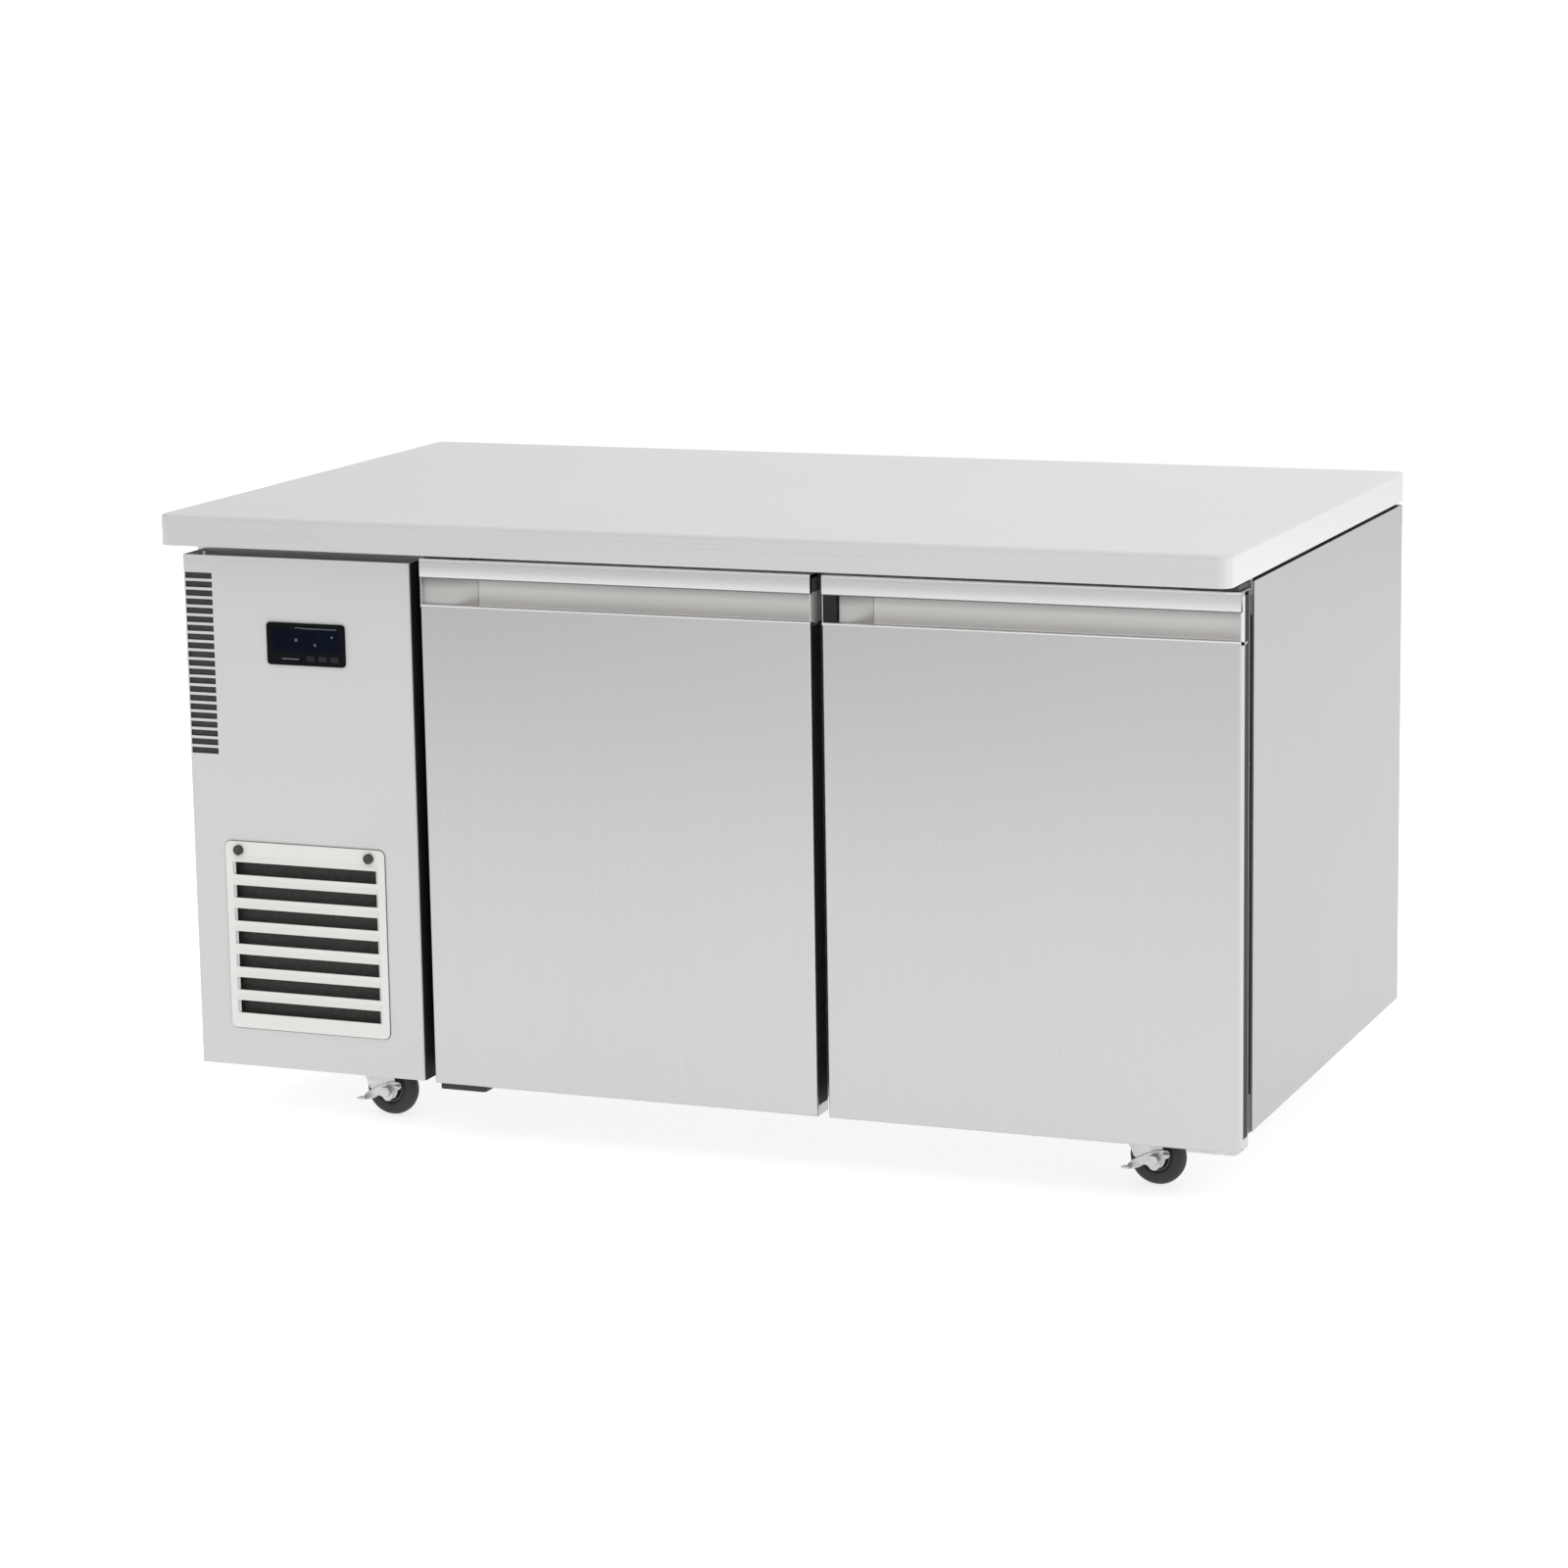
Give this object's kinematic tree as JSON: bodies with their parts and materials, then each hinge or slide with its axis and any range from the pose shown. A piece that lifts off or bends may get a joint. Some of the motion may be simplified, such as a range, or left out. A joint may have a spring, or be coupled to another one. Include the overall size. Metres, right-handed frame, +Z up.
{
  "type": "undercounter refrigerator",
  "caption": "Undercounter refrigerator with a worktop, swing doors, side-mounted machine compartment with intake grille and controller, on swivel casters.",
  "frame": {"origin": "on the floor under the middle of the worktop", "axes": "+Z up, the front faces -Y, +X along the worktop towards the right side seen from the front"},
  "size_m": [1.5, 0.87, 0.85],
  "materials": {
    "stainless": "fine brushed",
    "handle_stainless": "satin",
    "liner_stainless": "satin",
    "panel_paint": "matte fine powder coat",
    "grille_paint": "satin",
    "galvanised": "galvanised",
    "foam": "polyurethane foam",
    "core_board": "particle board",
    "gasket_rubber": "matte",
    "black_steel": "semi-gloss black",
    "zinc": "zinc plated",
    "caster_tyre": "matte",
    "black_plastic": "semi-gloss",
    "display_window": "tinted window",
    "key_plastic": "soft matte",
    "screw_black": "matte",
    "filter_mesh": "fine mesh",
    "copper": "drawn copper",
    "fin_aluminium": "mill",
    "cover_aluminium": "satin",
    "fan_plastic": "moulded",
    "shelf_chrome": "plated wire",
    "grommet_rubber": "matte",
    "pan_plastic": "moulded"
  },
  "bodies": {
    "cabinet": {"back_panel": "galvanised", "base_panel": "galvanised", "cabinet_insulation": "foam", "caster_plates": "zinc", "centre_mullion": "stainless", "compressor": "black_steel", "compressor_grommets": "grommet_rubber", "condenser": "fin_aluminium", "condenser_fan_shroud": "black_steel", "control_panel": "panel_paint", "controller_housing": "black_plastic", "display_window": "display_window", "door_jambs": "black_plastic", "drain_pan": "pan_plastic", "dust_filter": "filter_mesh", "electrical_fittings": "black_plastic", "evaporator": "fin_aluminium", "evaporator_cover": "cover_aluminium", "fan_motors": "black_steel", "front_rails": "stainless", "grille_screws": "screw_black", "hinge_brackets": "black_steel", "inner_liner": "liner_stainless", "intake_grille": "grille_paint", "left_side_panel": "stainless", "partition_panel": "galvanised", "refrigerant_lines": "copper", "right_side_panel": "stainless", "shelf_supports": "zinc", "wire_shelves": "shelf_chrome", "worktop": "stainless", "worktop_bearers": "galvanised", "worktop_core": "core_board"},
    "left_door": {"left_door_skin": "stainless", "left_door_frame": "black_plastic", "left_door_core": "foam", "left_door_liner": "liner_stainless", "left_door_gasket": "gasket_rubber", "left_door_handle": "handle_stainless"},
    "right_door": {"right_door_skin": "stainless", "right_door_frame": "black_plastic", "right_door_core": "foam", "right_door_liner": "liner_stainless", "right_door_gasket": "gasket_rubber", "right_door_handle": "handle_stainless"},
    "front_left_fork": {"front_left_caster_fork": "zinc"},
    "front_right_fork": {"front_right_caster_fork": "zinc"},
    "rear_left_fork": {"rear_left_caster_fork": "zinc"},
    "rear_right_fork": {"rear_right_caster_fork": "zinc"},
    "front_left_wheel": {"front_left_caster_wheel": "caster_tyre"},
    "front_right_wheel": {"front_right_caster_wheel": "caster_tyre"},
    "rear_left_wheel": {"rear_left_caster_wheel": "caster_tyre"},
    "rear_right_wheel": {"rear_right_caster_wheel": "caster_tyre"},
    "left_brake": {"left_brake_lever": "zinc"},
    "right_brake": {"right_brake_lever": "zinc"},
    "set_key": {"key_set": "key_plastic"},
    "up_key": {"key_up": "key_plastic"},
    "down_key": {"key_down": "key_plastic"},
    "condenser_fan_rotor": {"condenser_fan": "fan_plastic"},
    "evaporator_fan_rotor": {"evaporator_fan": "fan_plastic"}
  },
  "joints": [
    {"name": "left_door_hinge", "type": "hinge", "parent": "cabinet", "child": "left_door", "pos_m": [-0.367, -0.367, 0.43], "axis": [0, 0, -1], "range_deg": [0, 105]},
    {"name": "right_door_hinge", "type": "hinge", "parent": "cabinet", "child": "right_door", "pos_m": [0.734, -0.367, 0.43], "axis": [0, 0, 1], "range_deg": [0, 105]},
    {"name": "front_left_swivel", "type": "hinge", "parent": "cabinet", "child": "front_left_fork", "pos_m": [-0.521, -0.293, 0.09], "axis": [0, 0, 1], "continuous": true},
    {"name": "front_left_spin", "type": "hinge", "parent": "front_left_fork", "child": "front_left_wheel", "pos_m": [-0.494, -0.293, 0.0375], "axis": [0, 1, 0], "continuous": true},
    {"name": "front_right_swivel", "type": "hinge", "parent": "cabinet", "child": "front_right_fork", "pos_m": [0.588, -0.293, 0.09], "axis": [0, 0, 1], "continuous": true},
    {"name": "front_right_spin", "type": "hinge", "parent": "front_right_fork", "child": "front_right_wheel", "pos_m": [0.615, -0.293, 0.0375], "axis": [0, 1, 0], "continuous": true},
    {"name": "rear_left_swivel", "type": "hinge", "parent": "cabinet", "child": "rear_left_fork", "pos_m": [-0.521, 0.321, 0.09], "axis": [0, 0, 1], "continuous": true},
    {"name": "rear_left_spin", "type": "hinge", "parent": "rear_left_fork", "child": "rear_left_wheel", "pos_m": [-0.494, 0.321, 0.0375], "axis": [0, 1, 0], "continuous": true},
    {"name": "rear_right_swivel", "type": "hinge", "parent": "cabinet", "child": "rear_right_fork", "pos_m": [0.588, 0.321, 0.09], "axis": [0, 0, 1], "continuous": true},
    {"name": "rear_right_spin", "type": "hinge", "parent": "rear_right_fork", "child": "rear_right_wheel", "pos_m": [0.615, 0.321, 0.0375], "axis": [0, 1, 0], "continuous": true},
    {"name": "left_brake_pedal", "type": "hinge", "parent": "front_left_fork", "child": "left_brake", "pos_m": [-0.494, -0.293, 0.0375], "axis": [0, 1, 0], "range_deg": [0, 22]},
    {"name": "right_brake_pedal", "type": "hinge", "parent": "front_right_fork", "child": "right_brake", "pos_m": [0.615, -0.293, 0.0375], "axis": [0, 1, 0], "range_deg": [0, 22]},
    {"name": "set_key_press", "type": "slide", "parent": "cabinet", "child": "set_key", "axis": [0, 1, 0], "range_m": [0, 0.0008], "stiffness_N_per_m": 400},
    {"name": "up_key_press", "type": "slide", "parent": "cabinet", "child": "up_key", "axis": [0, 1, 0], "range_m": [0, 0.0008], "stiffness_N_per_m": 400},
    {"name": "down_key_press", "type": "slide", "parent": "cabinet", "child": "down_key", "axis": [0, 1, 0], "range_m": [0, 0.0008], "stiffness_N_per_m": 400},
    {"name": "condenser_fan_spin", "type": "hinge", "parent": "cabinet", "child": "condenser_fan_rotor", "pos_m": [-0.57, -0.246, 0.255], "axis": [0, 1, 0], "continuous": true},
    {"name": "evaporator_fan_spin", "type": "hinge", "parent": "cabinet", "child": "evaporator_fan_rotor", "pos_m": [-0.286, -0.06, 0.616], "axis": [1, 0, 0], "continuous": true}
  ]
}
